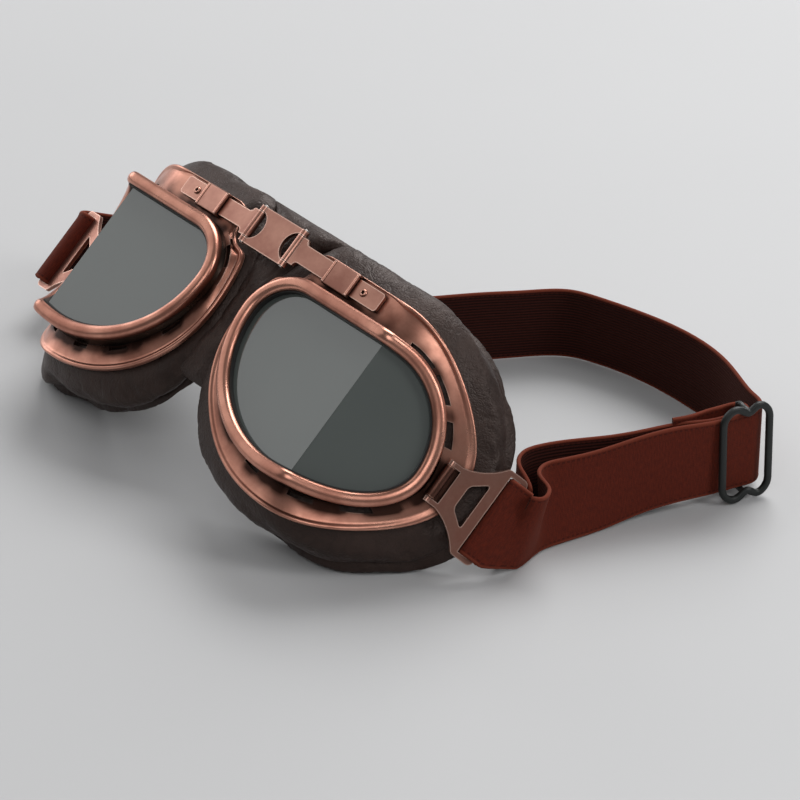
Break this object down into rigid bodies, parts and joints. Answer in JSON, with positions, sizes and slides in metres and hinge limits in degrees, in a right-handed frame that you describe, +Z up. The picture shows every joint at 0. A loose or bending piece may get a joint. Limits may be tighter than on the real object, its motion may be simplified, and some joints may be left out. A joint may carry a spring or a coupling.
{
  "type": "split-lens goggles",
  "caption": "Aviator-style goggles with split tinted panes in folding copper eyecups, leather cushions, hinged strap brackets and an elastic strap with a sliding adjuster.",
  "frame": {"origin": "on the table, below the middle of the whole part's box", "axes": "+X across the mask towards its right eyecup as drawn, +Y from the mask towards the strap's back, +Z up from the table"},
  "size_m": [0.221, 0.1509, 0.0708],
  "materials": {
    "copper": "antique copper, satin",
    "steel": "dull",
    "dark_metal": "dark, satin",
    "glass": "grey tint",
    "rubber": "matt",
    "leather": "worn",
    "strap": "woven elastic",
    "black_plastic": "satin black"
  },
  "bodies": {
    "bridge": {"bridge_link": "copper", "left_pin": "steel", "right_pin": "steel", "nose_leather": "leather", "strap_main": "strap", "strap_return": "strap"},
    "tri_glide": {"tri_glide": "black_plastic"},
    "left_slider": {"left_slider": "copper", "left_stop_rivet": "copper"},
    "left_eyecup": {"left_keeper": "copper", "left_bezel": "copper", "left_gasket": "rubber", "left_front_lens": "glass", "left_side_lens": "glass", "left_housing": "dark_metal", "left_flange": "copper", "left_lug": "copper", "left_cushion": "leather"},
    "left_bracket": {"left_bracket": "copper", "left_strap_loop": "strap"},
    "right_slider": {"right_slider": "copper", "right_stop_rivet": "copper"},
    "right_eyecup": {"right_keeper": "copper", "right_bezel": "copper", "right_gasket": "rubber", "right_front_lens": "glass", "right_side_lens": "glass", "right_housing": "dark_metal", "right_flange": "copper", "right_lug": "copper", "right_cushion": "leather"},
    "right_bracket": {"right_bracket": "copper", "right_strap_loop": "strap"}
  },
  "joints": [
    {"name": "right_fold", "type": "hinge", "parent": "bridge", "child": "right_slider", "pos_m": [0.0093, -0.0315, 0.066], "axis": [0, 0.749, 0.6626], "range_deg": [-8, 5], "deforming": ["nose_leather", "strap_main", "strap_return"]},
    {"name": "right_width_slide", "type": "slide", "parent": "right_slider", "child": "right_eyecup", "axis": [0.9954, 0.0635, -0.0718], "range_m": [-0.001, 0.0025], "deforming": ["nose_leather", "strap_main", "strap_return"]},
    {"name": "right_bracket_hinge", "type": "hinge", "parent": "right_eyecup", "child": "right_bracket", "pos_m": [0.0812, -0.03682, 0.02704], "axis": [0, 0.749, 0.6626], "range_deg": [-40, 0], "deforming": ["strap_main", "strap_return"]},
    {"name": "left_fold", "type": "hinge", "parent": "bridge", "child": "left_slider", "pos_m": [-0.0093, -0.0315, 0.066], "axis": [0, -0.749, -0.6626], "range_deg": [-8, 5], "deforming": ["nose_leather", "strap_main"]},
    {"name": "left_width_slide", "type": "slide", "parent": "left_slider", "child": "left_eyecup", "axis": [-0.9954, 0.0635, -0.0718], "range_m": [-0.001, 0.0025], "deforming": ["nose_leather", "strap_main"]},
    {"name": "left_bracket_hinge", "type": "hinge", "parent": "left_eyecup", "child": "left_bracket", "pos_m": [-0.0812, -0.03959, 0.02459], "axis": [0, -0.749, -0.6626], "range_deg": [-20, 30], "deforming": ["strap_main"]},
    {"name": "tri_glide_slide", "type": "slide", "parent": "bridge", "child": "tri_glide", "axis": [-0.1994, -0.9799, 0], "range_m": [0, 0.02], "deforming": ["strap_main", "strap_return"]}
  ]
}
